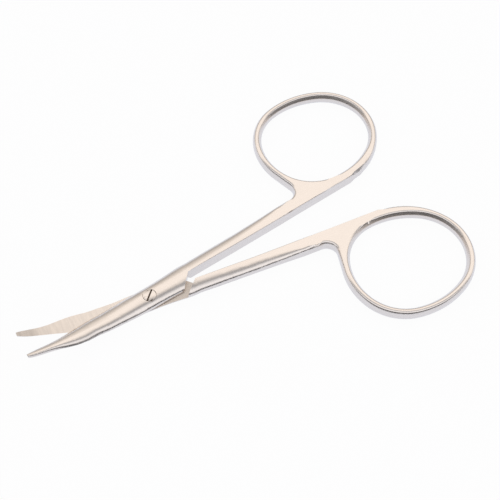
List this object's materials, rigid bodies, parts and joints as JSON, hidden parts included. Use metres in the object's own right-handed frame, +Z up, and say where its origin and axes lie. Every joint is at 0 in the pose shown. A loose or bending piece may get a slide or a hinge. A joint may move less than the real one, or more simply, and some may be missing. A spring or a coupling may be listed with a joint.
{
  "type": "dissecting scissors",
  "caption": "Fine curved dissecting scissors: two slim steel halves with oval finger rings, crossed in a lap joint on a slotted screw.",
  "frame": {"origin": "middle of the underside of the whole pair of scissors, lying flat and a little open as at rest", "axes": "+X from the blades to the finger rings, +Y to the upper half's ring, +Z up, the side the blades curve to; the pivot is the line x = -20.6 mm, y = 0"},
  "size_m": [0.1006, 0.0678, 0.0091],
  "materials": {
    "upper_half": "satin",
    "lower_half": "satin",
    "pivot_screw": "satin"
  },
  "bodies": {
    "lower": {"lower_half": "lower_half", "pivot_screw": "pivot_screw"},
    "upper": {"upper_half": "upper_half"}
  },
  "joints": [
    {"name": "pivot", "type": "hinge", "parent": "lower", "child": "upper", "pos_m": [-0.02069, 0, 0.00205], "axis": [0, 0, 1], "range_deg": [-10.9, 100]}
  ]
}
